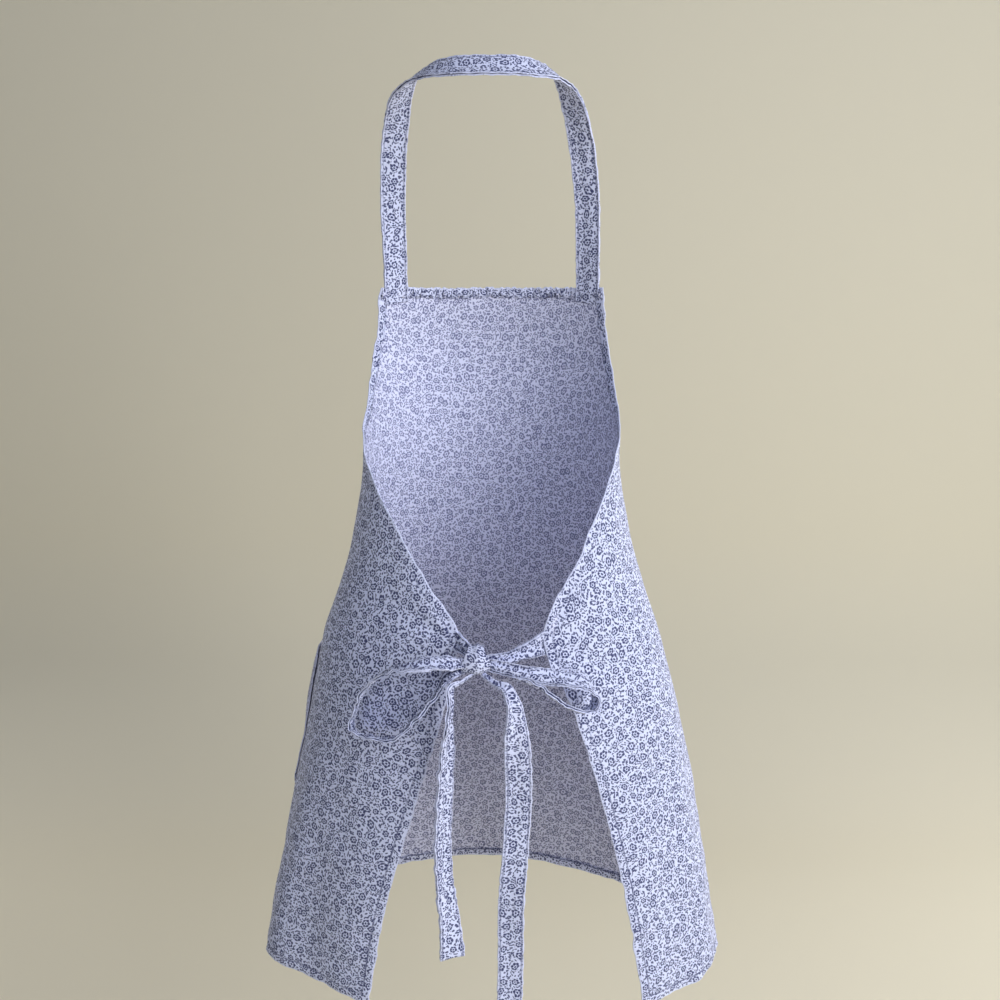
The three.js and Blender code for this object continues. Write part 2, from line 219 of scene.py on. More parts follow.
def noise_texture(tree, place, scale, detail):
    node = tree.nodes.new("ShaderNodeTexNoise")
    node.inputs["Scale"].default_value = scale
    node.inputs["Detail"].default_value = detail
    tree.links.new(place, node.inputs["Vector"])
    return node.outputs


def axes_of(tree, vector):
    node = tree.nodes.new("ShaderNodeSeparateXYZ")
    tree.links.new(vector, node.inputs["Vector"])
    return node.outputs


def cells(tree, place, pitch, scatter):
    node = tree.nodes.new("ShaderNodeTexVoronoi")
    node.voronoi_dimensions = "2D"
    feed(tree, node.inputs["Vector"], place)
    node.inputs["Scale"].default_value = 1 / pitch
    node.inputs["Randomness"].default_value = scatter
    split = tree.nodes.new("ShaderNodeSeparateColor")
    tree.links.new(node.outputs["Color"], split.inputs["Color"])
    local = vector_calc(tree, "SUBTRACT", place, node.outputs["Position"])
    return local, split.outputs["Red"], split.outputs["Green"]


print("node helpers ready")

# %% [markdown]
# The flowers come first: six petals in a ring, and a dot in the middle. A cosine of the angle makes the ring thick at
# a petal and thin between two. A slow noise bends the rows of the print, and a quick one shakes each line. The leaves
# use two finer sets of cells, each leaf turned by its own chance, and they give way where a flower is. A pair called
# an edge says where a line is full and where it is gone.

# %% The print
FLOWER_PITCH = 0.0126
FLOWER_SCATTER = 0.7
RING_RADIUS = 0.0026
RING_CHANCE = 0.0005
RING_EDGE = (0.00035, 0.00085)
RING_INK = (0.25, 0.8)
PETALS = 6.0
PETAL_TURN = 40.0
PETAL_LENGTH = 0.0006
DOT_EDGE = (0.0007, 0.0013)
CLEAR_EDGE = (0.0052, 0.0043)
FULL_TURN = 6.28
LEAF_EDGE = (0.75, 1.2)
LEAF_INK = 0.95
SHORT_LEAVES = {"pitch": 0.0029, "half_length": 0.0011, "half_width": 0.00077}
LONG_LEAVES = {"pitch": 0.0051, "half_length": 0.0017, "half_width": 0.0007}
ROW_BEND = {"scale": 55, "reach": 0.009}
LINE_SHAKE = {"scale": 420, "reach": 0.0013}


def shaken(tree, place, scale, reach):
    shake = noise_texture(tree, place, scale, 1)["Color"]
    swing = vector_calc(tree, "SUBTRACT", shake, (0.5, 0.5, 0.5))
    return vector_calc(tree, "ADD", place, vector_calc(tree, "MULTIPLY", swing, (reach, reach, 0)))


def leaves(tree, place, pitch, half_length, half_width):
    local, chance, _ = cells(tree, place, pitch, 1.0)
    rotate = tree.nodes.new("ShaderNodeVectorRotate")
    rotate.rotation_type = "Z_AXIS"
    tree.links.new(local, rotate.inputs["Vector"])
    tree.links.new(calc(tree, "MULTIPLY", chance, FULL_TURN), rotate.inputs["Angle"])
    size = vector_calc(tree, "MULTIPLY", rotate.outputs["Vector"], (1 / half_length, 1 / half_width, 0))
    return fade(tree, vector_calc(tree, "LENGTH", size), *LEAF_EDGE)


def flower_print(tree, flat_place):
    place = shaken(tree, shaken(tree, flat_place, **ROW_BEND), **LINE_SHAKE)
    local, chance, other = cells(tree, place, FLOWER_PITCH, FLOWER_SCATTER)
    far = vector_calc(tree, "LENGTH", local)
    axes = axes_of(tree, local)
    angle = calc(tree, "ARCTAN2", axes["Y"], axes["X"])
    turned = calc(tree, "MULTIPLY_ADD", chance, PETAL_TURN, calc(tree, "MULTIPLY", angle, PETALS))
    petal = calc(tree, "MULTIPLY_ADD", calc(tree, "COSINE", turned), 0.5, 0.5)
    radius = calc(tree, "MULTIPLY_ADD", other, RING_CHANCE, RING_RADIUS)
    off_ring = calc(tree, "ABSOLUTE", calc(tree, "SUBTRACT", far, radius))
    off_petal = calc(tree, "SUBTRACT", off_ring, calc(tree, "MULTIPLY", petal, PETAL_LENGTH))
    ring_ink = calc(tree, "MULTIPLY_ADD", petal, *RING_INK)
    ring = calc(tree, "MULTIPLY", fade(tree, off_petal, *RING_EDGE), ring_ink)
    flower = calc(tree, "MAXIMUM", ring, fade(tree, far, *DOT_EDGE))
    leaf = calc(tree, "MAXIMUM", leaves(tree, place, **SHORT_LEAVES), leaves(tree, place, **LONG_LEAVES))
    clear_leaf = calc(tree, "MULTIPLY", leaf, fade(tree, far, *CLEAR_EDGE))
    return calc(tree, "MAXIMUM", flower, calc(tree, "MULTIPLY", clear_leaf, LEAF_INK))


print("flowers every", FLOWER_PITCH / MM, "mm")

# %% [markdown]
# The shader is rough, with a little sheen from the fibre ends. The weave is a product of two sines in the bump, and a
# broader noise stands for the crumple that ironing leaves. Along the hems an attribute called hem holds the distance to
# the edge, so the nodes can draw the sewn line: a thin groove in the bump, with painted shade in its colour, strongest
# along the skirt. At a folded edge the cloth is painted nearly white, partly worn print and partly a painted highlight
# on the rounded fold. In the groove between two folded edges, where the attribute is below zero, painted shade makes it
# dark. The wrong side of the cloth takes the same print, only paler, because the ink doesn't soak through in full.

# %% Cotton materials
HEM_SEAM = 0.0085
STRAP_SEAM = 0.0022
SEAM_EDGE = (0.0004, 0.0012)
SEAM_FAINT = 0.25
SEAM_DEPTH = -0.8
# Painted highlight on folded edges, and painted shade in the groove between two of them:
FOLD_EDGE = (0.0006, 0.0014)
FOLD_HIGHLIGHT_WEAR = (0.5, 0.75)
FOLD_HIGHLIGHT_STRENGTH = -0.85
GROOVE_SHADE_EDGE = (-0.0012, -0.0005)
# This range of the wear noise breaks up the painted shade of a sewn line.
SEAM_BREAKUP = (0.62, 0.42)
WORN_SCALE = 60
WORN_RANGE = 0.2
SHEEN = 0.12
SHEEN_ROUGHNESS = 0.5
CLOTH_ROUGHNESS = 0.92
INK_SHINE = -0.08
THREAD_PITCH = 0.0008
WEAVE_HEIGHT = 0.06
CRUMPLE_SCALE = 130
BUMP_STRENGTH = 0.55
BUMP_DISTANCE = 0.0006


def cotton(name, ground, ink, strength, seam_at, seam_shade, shade_from=None):
    material = bpy.data.materials.new(name)
    material.use_nodes = True
    tree = material.node_tree
    shader = tree.nodes["Principled BSDF"]
    shader.inputs["Sheen Weight"].default_value = SHEEN
    shader.inputs["Sheen Roughness"].default_value = SHEEN_ROUGHNESS
    place = tree.nodes.new("ShaderNodeUVMap")
    place.uv_map = "cut"
    uv = place.outputs["UV"]

    worn = noise_texture(tree, uv, WORN_SCALE, 3)["Fac"]
    cover = calc(tree, "MULTIPLY_ADD", worn, WORN_RANGE, strength - WORN_RANGE / 2)
    printed = calc(tree, "MULTIPLY", flower_print(tree, uv), cover)

    hem = tree.nodes.new("ShaderNodeAttribute")
    hem.attribute_name = "hem"
    to_edge = hem.outputs["Fac"]
    seam = fade(tree, calc(tree, "ABSOLUTE", calc(tree, "SUBTRACT", to_edge, seam_at)), *SEAM_EDGE)
    # Folded edges are painted pale: partly worn print, partly a painted highlight on the rounded fold.
    folded = fade(tree, calc(tree, "ABSOLUTE", to_edge), *FOLD_EDGE)
    fold_highlight_and_wear = calc(tree, "MULTIPLY", folded, fade(tree, worn, *FOLD_HIGHLIGHT_WEAR))
    # The groove between two folded lips is painted dark as shade.
    groove_shade = fade(tree, to_edge, *GROOVE_SHADE_EDGE)
    # The sewn line gets painted shade in its groove, broken up by a noise.
    seam_breakup = fade(tree, worn, *SEAM_BREAKUP)
    painted_seam_shade = calc(tree, "MULTIPLY", seam, calc(tree, "MULTIPLY_ADD", seam_breakup, seam_shade / 2, seam_shade / 2))
    # Given two levels, the painted seam shade is full below the first and falls to SEAM_FAINT above the second.
    if shade_from:
        in_object = tree.nodes.new("ShaderNodeTexCoord").outputs["Object"]
        low = fade(tree, axes_of(tree, in_object)["Z"], *shade_from)
        painted_seam_shade = calc(tree, "MULTIPLY", painted_seam_shade, calc(tree, "MAXIMUM", low, SEAM_FAINT))
    # Print with the painted seam shade laid over it; the painted fold highlight then lightens it.
    ink_and_painted_light = calc(tree, "MAXIMUM", printed, painted_seam_shade)
    ink_and_painted_light = calc(tree, "MULTIPLY", ink_and_painted_light, calc(tree, "MULTIPLY_ADD", fold_highlight_and_wear, FOLD_HIGHLIGHT_STRENGTH, 1.0))

    blend = tree.nodes.new("ShaderNodeMix")
    blend.data_type = "RGBA"
    feed(tree, blend.inputs["Factor"], calc(tree, "MAXIMUM", ink_and_painted_light, groove_shade))
    blend.inputs["A"].default_value = (*ground, 1)
    blend.inputs["B"].default_value = (*ink, 1)
    tree.links.new(blend.outputs["Result"], shader.inputs["Base Color"])
    feed(tree, shader.inputs["Roughness"], calc(tree, "MULTIPLY_ADD", printed, INK_SHINE, CLOTH_ROUGHNESS))

    turns = 2 * math.pi / THREAD_PITCH
    thread = axes_of(tree, vector_calc(tree, "MULTIPLY", uv, (turns, turns, 0)))
    weave = calc(tree, "MULTIPLY", calc(tree, "SINE", thread["X"]), calc(tree, "SINE", thread["Y"]))
    crumple = noise_texture(tree, uv, CRUMPLE_SCALE, 2)["Fac"]
    relief = calc(tree, "MULTIPLY_ADD", weave, WEAVE_HEIGHT, crumple)
    relief = calc(tree, "MULTIPLY_ADD", seam, SEAM_DEPTH, relief)
    bump = tree.nodes.new("ShaderNodeBump")
    bump.inputs["Strength"].default_value = BUMP_STRENGTH
    bump.inputs["Distance"].default_value = BUMP_DISTANCE
    tree.links.new(relief, bump.inputs["Height"])
    tree.links.new(bump.outputs["Normal"], shader.inputs["Normal"])
    return material


GROUND = (0.70, 0.73, 0.93)
INK = (0.033, 0.041, 0.135)
WRONG_GROUND = (0.74, 0.75, 0.93)
WRONG_INK = (0.11, 0.12, 0.26)
# Levels where the painted shade of the sewn line fades from full, low on the skirt, to faint.
SEAM_SHADE_LEVELS = (-0.72, -0.56)
# The seam strength given to each material is how dark its painted seam shade is.
right_side = cotton(
    "printed_cotton", GROUND, INK, strength=1.0, seam_at=HEM_SEAM, seam_shade=0.9, shade_from=SEAM_SHADE_LEVELS,
)
wrong_side = cotton(
    "printed_cotton_wrong_side", WRONG_GROUND, WRONG_INK, strength=0.9, seam_at=HEM_SEAM, seam_shade=0.6,
    shade_from=SEAM_SHADE_LEVELS,
)
pocket_side = cotton("printed_cotton_pocket", GROUND, INK, strength=1.0, seam_at=HEM_SEAM, seam_shade=0.9)
strap_side = cotton("printed_cotton_strap", GROUND, INK, strength=1.0, seam_at=STRAP_SEAM, seam_shade=0.5)
cottons = (right_side, wrong_side, pocket_side, strap_side)
print("materials and their nodes:", {side.name: len(side.node_tree.nodes) for side in cottons})

# %% [markdown]
# The seams are sewn with slate blue cotton thread, so thin that its twist is only painted: a fine noise between a
# shaded and a lit tone of the same blue.

# %% Thread material
THREAD_SHADED = (0.15, 0.17, 0.31, 1)
THREAD_LIT = (0.40, 0.42, 0.58, 1)
THREAD_ROUGHNESS = 0.7
TWIST_SCALE = 900

thread_cotton = bpy.data.materials.new("sewing_thread")
thread_cotton.use_nodes = True
thread_tree = thread_cotton.node_tree
thread_shader = thread_tree.nodes["Principled BSDF"]
thread_shader.inputs["Roughness"].default_value = THREAD_ROUGHNESS
thread_place = thread_tree.nodes.new("ShaderNodeTexCoord")
# Painted light and shade of the twisted plies.
twist_shading = noise_texture(thread_tree, thread_place.outputs["Object"], TWIST_SCALE, 2)
thread_mix = thread_tree.nodes.new("ShaderNodeMix")
thread_mix.data_type = "RGBA"
thread_mix.inputs["A"].default_value = THREAD_SHADED
thread_mix.inputs["B"].default_value = THREAD_LIT
thread_tree.links.new(twist_shading["Fac"], thread_mix.inputs["Factor"])
thread_tree.links.new(thread_mix.outputs["Result"], thread_shader.inputs["Base Color"])
print("material:", thread_cotton.name)

# %% [markdown]
# ## The panel's shape
# Bib, sides and skirt are one cloth. Its form repeats the tables of the solid: horizontal sections from the hem up to
# the bib, folds that fall to the hem, and how far the hem is pulled off its level. A fold is an angle, a spread, a
# height and the level where it starts. A curve through a table takes each slope as the mean of the two steps beside
# it, as the solid does, so cloth and solid lie in the same place.

# %% Tables of the panel, in millimetres and degrees
SIDE_LINE = 57.0
BIB_TOP = -188.0
HEM_LINE = -890.0
PULL_START = -700.0
SECTION_NAMES = ("shift", "half", "front", "back", "left", "right")
SECTIONS = np.array([
    (-890, 0, 246, 170, 120, 150, 141.3),
    (-790, 0.5, 229, 157, 118, 152.5, 144),
    (-700, 2, 211, 143, 115, 157, 148),
    (-620, 3, 193, 130, 112, 162, 153),
    (-560, 1, 179, 122, 108, 166.8, 157.5),
    (-526, 0, 170, 118, 104, 169, 162),
    (-501, 0, 161, 117, 101, 169, 162),
    (-475, 0, 152, 117, 97, 161.2, 156.5),
    (-442, 0, 142, 118, 92, 150, 144.7),
    (-408, 0, 135, 119, 88, 137.4, 134.5),
    (-376, 0, 129, 120, 85, 121.5, 121),
    (-345, 0, 127, 122, 84, 101, 103),
    (-305, 0, 131, 125, 86, 76, 77),
    (-250, 0, 146, 124, 92, 57, 57),
    (-188, 0, 150, 106, 95, 50, 50),
])
FOLDS = (
    (-128, 9, -4, -600), (-110, 8, 4, -640), (-56, 14, -5, -620), (-30, 10, 5, -660), (2, 15, 7, -600),
    (46, 13, -5, -640), (68, 9, 4, -660), (112, 9, 4, -580), (128, 7, -4, -620),
)
HEM_PULL = np.array([
    (-155, -2), (-125, 6), (-95, 9), (-50, -5), (-15, -3), (10, -8), (35, -12),
    (65, -7), (95, 4), (122, -11), (145, -13),
])


def through_table(places, values, at):
    at = np.clip(at, places[0], places[-1])
    steps = np.diff(values) / np.diff(places)
    slopes = np.concatenate([steps[:1], (steps[:-1] + steps[1:]) / 2, steps[-1:]])
    i = np.clip(np.searchsorted(places, at, side="right") - 1, 0, len(places) - 2)
    span = places[i + 1] - places[i]
    t = (at - places[i]) / span
    start = (2 * t**3 - 3 * t**2 + 1) * values[i] + (t**3 - 2 * t**2 + t) * span * slopes[i]
    return start + (3 * t**2 - 2 * t**3) * values[i + 1] + (t**3 - t**2) * span * slopes[i + 1]


def section_at(level):
    columns = enumerate(SECTION_NAMES, start=1)
    return {name: through_table(SECTIONS[:, 0], SECTIONS[:, k], level) for k, name in columns}


def smooth(share):
    share = np.clip(share, 0, 1)
    return share * share * (3 - 2 * share)


print("sections:", len(SECTIONS), "folds:", len(FOLDS))

# %% [markdown]
# Real cloth is never as calm as its tables. Drag lines fan out from the two corners where the ties pull, long soft
# waves run down the skirt, and small dents lie everywhere. They are added along the outward direction, a few
# millimetres at most, from a fixed noise, so each run gives the same cloth.

# %% Wrinkles and the panel's points
TIE_CORNERS = ((-169.0, -513.0, -1), (162.0, -513.0, 1))
MM_PER_DEGREE = 2.7
FAN_RAYS = 9
FAN_TURN = 0.8
FAN_LIFT = 1.5
FAN_NEAR = 16
FAN_FAR = 80
LOOSE_FROM = -480
LOOSE_SPAN = 260
LOOSE_LEAST = 0.3
WAVE_SIZE = (62, 170)
WAVE_SEED = 3.1
WAVE_LIFT = 4.2
DENT_SIZE = (21, 27)
DENT_SEED = 8.7
DENT_LIFT = 1.5


def ripples(degrees, level, size, seed):
    across, down = size
    return np.array([noise.noise((a * MM_PER_DEGREE / across, z / down, seed)) for a, z in zip(degrees, level)])


def wrinkles(degrees, level):
    lift = np.zeros_like(degrees)
    for corner, height, side in TIE_CORNERS:
        run = (corner - degrees) * side * MM_PER_DEGREE
        drop = level - height
        reach = np.hypot(run, drop)
        fan = np.cos(FAN_RAYS * np.arctan2(drop, run) + FAN_TURN * side)
        lift += FAN_LIFT * fan * np.exp(-((reach / FAN_FAR) ** 2)) * (1 - np.exp(-((reach / FAN_NEAR) ** 2)))
    loose = LOOSE_LEAST + (1 - LOOSE_LEAST) * smooth((LOOSE_FROM - level) / LOOSE_SPAN)
    waves = WAVE_LIFT * ripples(degrees, level, WAVE_SIZE, WAVE_SEED)
    dents = DENT_LIFT * ripples(degrees, level, DENT_SIZE, DENT_SEED)
    return lift + loose * (waves + dents)


def panel_points(degrees, level):
    pull = through_table(HEM_PULL[:, 0], HEM_PULL[:, 1], degrees)
    z = level + pull * smooth((PULL_START - level) / (PULL_START - HEM_LINE))
    section = section_at(z)
    angle = np.radians(degrees)
    depth = np.where(np.cos(angle) > 0, section["front"], section["back"])
    outward = np.stack([np.sin(angle) / section["half"], np.cos(angle) / depth, np.zeros_like(angle)], axis=1)
    outward /= np.linalg.norm(outward, axis=1)[:, None]
    lift = wrinkles(degrees, level)
    for at, spread, out, start in FOLDS:
        fall = smooth((start - level) / (start - HEM_LINE))
        lift = lift + out * fall * np.exp(-(((degrees - at) / spread) ** 2))
    x = section["shift"] + section["half"] * np.sin(angle)
    points = np.stack([x, SIDE_LINE + depth * np.cos(angle), z], axis=1)
    return (points + outward * lift[:, None]) * MM, outward


middle, _ = panel_points(np.array([0.0]), np.array([-600.0]))
print("front middle at hip height:", middle[0])

# %% [markdown]
# ## Turned hems
# A hem is the cloth itself, folded under once and sewn down. Extruding the open edge does the same: first a small step
# out and round for the fold, then back along the inside. Each edge point needs the cloth's normal and the way
# inwards, which is longer at a corner, where two hems meet in a mitre.

# %% Helpers for edges and hems
MITRE_LEAST = 0.6
HEM_FOLD = ((0.35, 0.25), (0.35, 0.95), (0.0, 1.25))
HEM_STEPS = 3


def rim_in_order(bm):
    first = next(v for v in bm.verts if v.is_boundary and len(v.link_edges) == 2)
    ring = [first]
    came_by = None
    while True:
        step = next(e for e in ring[-1].link_edges if e.is_boundary and e is not came_by)
        came_by = step
        follower = step.other_vert(ring[-1])
        if follower is first:
            return ring
        ring.append(follower)


def rim_frames(ring):
    frames = []
    for k, v in enumerate(ring):
        before = (v.co - ring[k - 1].co).normalized()
        after = (ring[(k + 1) % len(ring)].co - v.co).normalized()
        along = (before + after).normalized()
        inward = v.normal.cross(along).normalized()
        middle_of_faces = sum((f.calc_center_median() for f in v.link_faces), Vector()) / len(v.link_faces)
        if inward.dot(middle_of_faces - v.co) < 0:
            inward.negate()
        mitre = 1 / max(MITRE_LEAST, ((before + after) / 2).length)
        frames.append((v.co.copy(), v.normal.copy(), inward * mitre))
    return frames


def turn_hem(bm, ring, frames, widths, hem_layer):
    turned = len(HEM_FOLD)
    here = {v: k for k, v in enumerate(ring)}
    for step in range(turned + HEM_STEPS):
        edges = [e for e in bm.edges if e.is_boundary and e.verts[0] in here and e.verts[1] in here]
        grown = bmesh.ops.extrude_edge_only(bm, edges=edges)["geom"]
        there = {}
        for v in (g for g in grown if isinstance(g, bmesh.types.BMVert)):
            k = next(here[e.other_vert(v)] for e in v.link_edges if e.other_vert(v) in here)
            co, normal, inward = frames[k]
            if step < turned:
                out, depth = HEM_FOLD[step]
            else:
                out, depth = -(step - turned + 1) / HEM_STEPS * widths[k], HEM_FOLD[-1][1]
            v.co = co - inward * out * MM - normal * depth * MM
            v[hem_layer] = max(0.0, -out * MM)
            there[v] = k
        here = there


print("hem helpers ready")

# %% [markdown]
# ## Build the panel
# A grid operator makes the flat cloth, and every vertex is then carried to its place on the worn form: across the grid
# runs from the left edge to the right one, down the grid from bib to hem. The cloth's edges pucker a little where the
# sewing gathers them, so points near the rim swing in and out along it.

# %% Panel grid
PANEL_COLUMNS = 210
PANEL_ROWS = 168


def cloth_grid(columns, rows):
    bm = bmesh.new()
    bmesh.ops.create_grid(bm, x_segments=columns, y_segments=rows, size=1)
    hem_layer = bm.verts.layers.float.new("hem")
    return bm, hem_layer, np.array([v.co for v in bm.verts])


def carry(bm, places, outward):
    for v, place in zip(bm.verts, places):
        v.co = place
    bm.normal_update()
    bm.verts.index_update()
    if sum(f.normal.dot(Vector(outward[f.verts[0].index])) for f in bm.faces) < 0:
        bmesh.ops.reverse_faces(bm, faces=bm.faces)
        bm.normal_update()


bm, hem_layer, grid = cloth_grid(PANEL_COLUMNS, PANEL_ROWS)
level = BIB_TOP + (1 - grid[:, 1]) / 2 * (HEM_LINE - BIB_TOP)
edges_at = section_at(level)
degrees = np.where(grid[:, 0] < 0, grid[:, 0] * edges_at["left"], grid[:, 0] * edges_at["right"])
places, outward = panel_points(degrees, level)
carry(bm, places, outward)
print("panel grid:", len(bm.verts), "points")

# %% Distance to the rim, puckers and hems
RIM_PARTS = 6
PUCKER_LEAST = 0.01
PUCKER_NOISE = (2.3, 0.5, 1.7)
SWAY_NOISE = (2.1, 4.5, 2.7)
HEM_WIDTH = 10.0


def measure_rim(bm, ring, hem_layer):
    tree = kdtree.KDTree(len(ring) * RIM_PARTS)
    run = 0.0
    for k, v in enumerate(ring):
        step = ring[(k + 1) % len(ring)].co - v.co
        for part in range(RIM_PARTS):
            tree.insert(v.co + step * part / RIM_PARTS, k * RIM_PARTS + part)
        run += step.length
    tree.balance()
    nearest = {}
    for v in bm.verts:
        _, index, far = tree.find(v.co)
        v[hem_layer] = far
        nearest[v] = index / RIM_PARTS
    return nearest, run


def rim_noise(place, length, row, seed):
    return noise.noise((place / length, row, seed))


def pucker(bm, ring, nearest, hem_layer, height, reach, sway):
    frames = rim_frames(ring)
    for v in bm.verts:
        near = math.exp(-((v[hem_layer] / reach) ** 2))
        if near > PUCKER_LEAST:
            k = nearest[v]
            inward = frames[int(k)][2]
            v.co += v.normal * height * near * rim_noise(k, *PUCKER_NOISE)
            v.co += inward * sway * near * rim_noise(k, *SWAY_NOISE)
    bm.normal_update()


ring = rim_in_order(bm)
nearest, rim_length = measure_rim(bm, ring, hem_layer)
pucker(bm, ring, nearest, hem_layer, height=0.0017, reach=0.008, sway=0.0016)
panel_frames = rim_frames(ring)
panel_surface = BVHTree.FromBMesh(bm)
turn_hem(bm, ring, panel_frames, [HEM_WIDTH] * len(ring), hem_layer)
print("rim of the panel:", round(rim_length, 3), "m")

# %% [markdown]
# A finished bmesh becomes an object here, and says at once which body it rides on, which solid it stands for and which
# slot its finish belongs to. The panel's pattern has to lie on it as on the flat cut, so Blender's own unwrap flattens
# it, and the result is scaled until its area is the cloth's area in square metres. The unwrap may leave the cut lying
# on its side or head down, a different way each time, so it is turned by quarters until it stands upright.

# %% Helpers for finished pieces
UNWRAP_ROUNDS = 5


def make_piece(name, bm, materials, node=None):
    mesh = bpy.data.meshes.new(name)
    bm.to_mesh(mesh)
    bm.free()
    for material in materials:
        mesh.materials.append(material)
    mesh.shade_smooth()
    piece = bpy.data.objects.new(name, mesh)
    in_scene.link(piece)
    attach(piece, "root")
    if node:
        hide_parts(node)
    print(name, len(mesh.polygons), "faces")
    return piece


def flatten(piece):
    mesh = piece.data
    mesh.uv_layers.new(name="cut")
    bpy.context.view_layer.objects.active = piece
    bpy.ops.object.select_all(action="DESELECT")
    piece.select_set(True)
    bpy.ops.object.mode_set(mode="EDIT")
    bpy.ops.mesh.select_all(action="SELECT")
    bpy.ops.uv.unwrap(method="MINIMUM_STRETCH", iterations=UNWRAP_ROUNDS, margin=0)
    bpy.ops.object.mode_set(mode="OBJECT")
    uv = np.zeros(len(mesh.loops) * 2)
    mesh.uv_layers["cut"].data.foreach_get("uv", uv)
    uv = uv.reshape(-1, 2)
    flat = 0.0
    for face in mesh.polygons:
        corners = uv[face.loop_start:face.loop_start + face.loop_total]
        nxt = np.roll(corners, -1, axis=0)
        flat += abs(np.sum(corners[:, 0] * nxt[:, 1] - corners[:, 1] * nxt[:, 0])) / 2
    area = sum(face.area for face in mesh.polygons)
    uv *= math.sqrt(area / flat)
    heights = np.array([mesh.vertices[loop.vertex_index].co.z for loop in mesh.loops])
    rise = (heights - heights.mean()) @ (uv - uv.mean(axis=0))
    quarter = round(math.atan2(rise[0], rise[1]) / (math.pi / 2))
    turn = [(1, 0), (0, 1), (-1, 0), (0, -1)][quarter % 4]
    uv = uv @ np.array([turn, (-turn[1], turn[0])])
    uv -= uv.min(axis=0)
    mesh.uv_layers["cut"].data.foreach_set("uv", uv.ravel())
    size = uv.max(axis=0)
    print(piece.name, "lies flat at", size.round(3), "m and has", round(area, 4), "square metres")
    return size, area


def give_wall(piece, wall):
    solid = piece.modifiers.new("wall", "SOLIDIFY")
    solid.thickness = wall
    solid.offset = -1
    solid.material_offset = 1


print("piece helpers ready")

# %% Panel object
COTTON_WALL = 0.00055

panel = make_piece("panel_cloth", bm, [right_side, wrong_side], "panel")
panel_size, panel_area = flatten(panel)
give_wall(panel, COTTON_WALL)

# %% [markdown]
# ## Pocket
# A patch pocket sits on the left hip. Its back edge shows beyond the side of the skirt. It follows the panel's own
# surface, wrinkles included, and stands away at its mouth and, by a little, along its back edge. All four edges are
# turned under, the mouth by the most, and the hem attribute is shifted so that the sewn line falls close to the sides
# and well below the mouth.

# %% Pocket
POCKET_COLUMNS = 48
POCKET_ROWS = 42
POCKET_TOP = -558.0
POCKET_BOTTOM = -708.0
POCKET_BACK = -96.0
POCKET_FRONT = -31.0
POCKET_GAPE = 12.0
POCKET_SWELL = 3.0
SWELL_FROM = 0.36
SWELL_SPAN = 0.66
SWELL_AT = -0.78
SWELL_SPREAD = 0.15
POCKET_LIFT = 2.0
MOUTH_LIFT = 0.4
POCKET_TILT = 3.5
POCKET_SEAM = 0.0025
MOUTH_SEAM = 0.0145
MOUTH_HEM = 16
SIDE_HEM = 8
POCKET_RIM = 0.0005
PLAIN_CLOTH = 0.004

bm, hem_layer, grid = cloth_grid(POCKET_COLUMNS, POCKET_ROWS)
side, up = grid[:, 0], (grid[:, 1] + 1) / 2
pocket_level = POCKET_BOTTOM + up * (POCKET_TOP - POCKET_BOTTOM)
narrowed = section_at(np.array([POCKET_TOP]))["half"] / section_at(pocket_level)["half"]
pocket_degrees = (POCKET_FRONT + POCKET_BACK) / 2 + side * (POCKET_FRONT - POCKET_BACK) / 2 * narrowed
pocket_degrees = pocket_degrees + POCKET_TILT * (1 - up)
places, outward = panel_points(pocket_degrees, pocket_level)
gape = POCKET_GAPE * np.sqrt(up) * (1 - side**2) ** 3
swell = POCKET_SWELL * np.sin(np.pi * np.clip((up - SWELL_FROM) / SWELL_SPAN, 0, 1))
swell = swell * np.exp(-(((side - SWELL_AT) / SWELL_SPREAD) ** 2))
lift = POCKET_LIFT * (1 + MOUTH_LIFT * up**3) + gape + swell
carry(bm, places + outward * (lift * MM)[:, None], outward)
ring = rim_in_order(bm)
nearest, rim_length = measure_rim(bm, ring, hem_layer)
pucker(bm, ring, nearest, hem_layer, height=0.0007, reach=0.006, sway=0.0006)
pocket_frames = rim_frames(ring)
pocket_surface = BVHTree.FromBMesh(bm)
mouth = (POCKET_TOP - 1) * MM
for v in bm.verts:
    seam_here = MOUTH_SEAM if ring[int(nearest[v])].co.z > mouth else POCKET_SEAM
    if v[hem_layer] > POCKET_RIM:
        v[hem_layer] = max(v[hem_layer] + HEM_SEAM - seam_here, PLAIN_CLOTH)
hem_widths = [MOUTH_HEM if co.z > mouth else SIDE_HEM for co, _, _ in pocket_frames]
turn_hem(bm, ring, pocket_frames, hem_widths, hem_layer)
print("rim of the pocket:", round(rim_length, 3), "m")
pocket = make_piece("pocket_cloth", bm, [pocket_side, wrong_side], "pocket")
pocket_size, pocket_area = flatten(pocket)
give_wall(pocket, COTTON_WALL)

# %% [markdown]
# ## Straps, ties and bow
# All of these are one kind of strip: a band of the same cotton, folded so that its raw edges are inside, and sewn along
# its length. Seen from the edge it is two folded lips with a groove between them, and the sewing makes the lips wavy.
# A strip follows a row of stations. The curve through them is a Catmull-Rom curve, the same as the solid's.

# %% Curve through stations
LEAST_STEP = 1e-6
ROUTE_PARTS = 24


